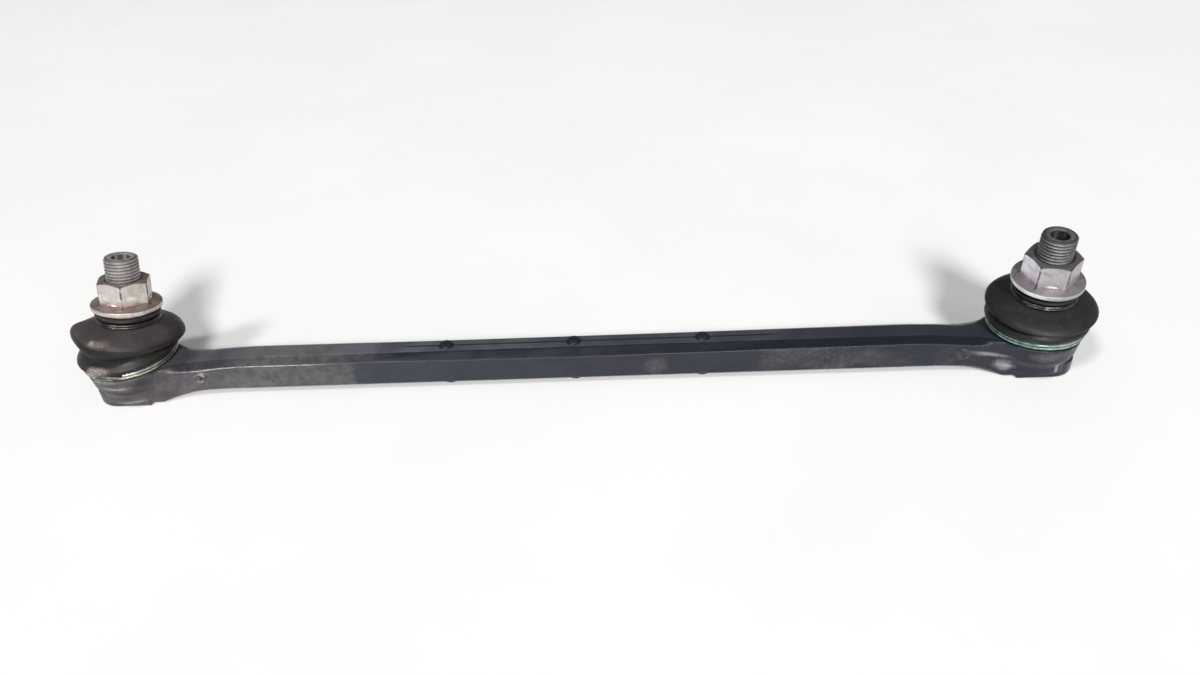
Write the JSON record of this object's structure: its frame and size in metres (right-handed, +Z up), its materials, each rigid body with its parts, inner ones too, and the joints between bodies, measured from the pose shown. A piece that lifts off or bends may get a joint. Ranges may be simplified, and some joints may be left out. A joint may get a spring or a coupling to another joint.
{
  "type": "stabilizer link",
  "caption": "Moulded stabilizer link: straight octagonal bar with a round housing at each end, each holding a booted, threaded ball stud with a hexagon flange nut.",
  "frame": {"origin": "underside of the left housing's foot, straight below the left ball centre", "axes": "+X along the bar to the right end, +Y away from the camera, +Z up out of the feet"},
  "size_m": [0.3824, 0.0432, 0.0568],
  "materials": {
    "link_bar": "satin glass-filled plastic",
    "left_ball_seat": "smooth low-friction plastic",
    "left_ball_stud": "dark coated steel",
    "left_flange_nut": "dull zinc plating",
    "left_dust_boot": "matte, dusty",
    "left_lower_clamp_ring": "pale green coated spring wire",
    "left_upper_clamp_ring": "bright spring wire",
    "right_ball_seat": "smooth low-friction plastic",
    "right_ball_stud": "dark coated steel",
    "right_flange_nut": "dull zinc plating",
    "right_dust_boot": "matte, dusty",
    "right_lower_clamp_ring": "pale green coated spring wire",
    "right_upper_clamp_ring": "bright spring wire"
  },
  "bodies": {
    "link": {"link_bar": "link_bar", "left_ball_seat": "left_ball_seat", "right_ball_seat": "right_ball_seat", "left_lower_clamp_ring": "left_lower_clamp_ring", "right_lower_clamp_ring": "right_lower_clamp_ring"},
    "left_boot_body": {"left_dust_boot": "left_dust_boot"},
    "left_boot_neck": {"left_upper_clamp_ring": "left_upper_clamp_ring"},
    "left_stud": {"left_ball_stud": "left_ball_stud"},
    "left_nut": {"left_flange_nut": "left_flange_nut"},
    "right_boot_body": {"right_dust_boot": "right_dust_boot"},
    "right_boot_neck": {"right_upper_clamp_ring": "right_upper_clamp_ring"},
    "right_stud": {"right_ball_stud": "right_ball_stud"},
    "right_nut": {"right_flange_nut": "right_flange_nut"}
  },
  "joints": [
    {"name": "left_swing_along", "type": "hinge", "parent": "link", "child": "left_boot_body", "pos_m": [0, 0, 0.0115], "axis": [0, 1, 0], "range_deg": [-24.3, 9.7], "deforming": ["left_dust_boot"]},
    {"name": "left_swing_across", "type": "hinge", "parent": "left_boot_body", "child": "left_boot_neck", "pos_m": [0, 0, 0.0115], "axis": [0.9919, 0, -0.1271], "range_deg": [-6.6, 27.4], "deforming": ["left_dust_boot"]},
    {"name": "left_stud_spin", "type": "hinge", "parent": "left_boot_neck", "child": "left_stud", "pos_m": [0, 0, 0.0115], "axis": [0.125, 0.1805, 0.9756], "continuous": true},
    {"name": "left_nut_travel", "type": "slide", "parent": "left_stud", "child": "left_nut", "axis": [0.125, 0.1805, 0.9756], "range_m": [0, 0.021]},
    {"name": "right_swing_along", "type": "hinge", "parent": "link", "child": "right_boot_body", "pos_m": [0.345, 0, 0.0115], "axis": [0, 1, 0], "range_deg": [-16, 18], "deforming": ["right_dust_boot"]},
    {"name": "right_swing_across", "type": "hinge", "parent": "right_boot_body", "child": "right_boot_neck", "pos_m": [0.345, 0, 0.0115], "axis": [0.9998, 0, 0.0175], "range_deg": [-22.1, 11.9], "deforming": ["right_dust_boot"]},
    {"name": "right_stud_spin", "type": "hinge", "parent": "right_boot_neck", "child": "right_stud", "pos_m": [0.345, 0, 0.0115], "axis": [-0.0174, -0.0889, 0.9959], "continuous": true},
    {"name": "right_nut_travel", "type": "slide", "parent": "right_stud", "child": "right_nut", "axis": [-0.0174, -0.0889, 0.9959], "range_m": [0, 0.021]}
  ]
}
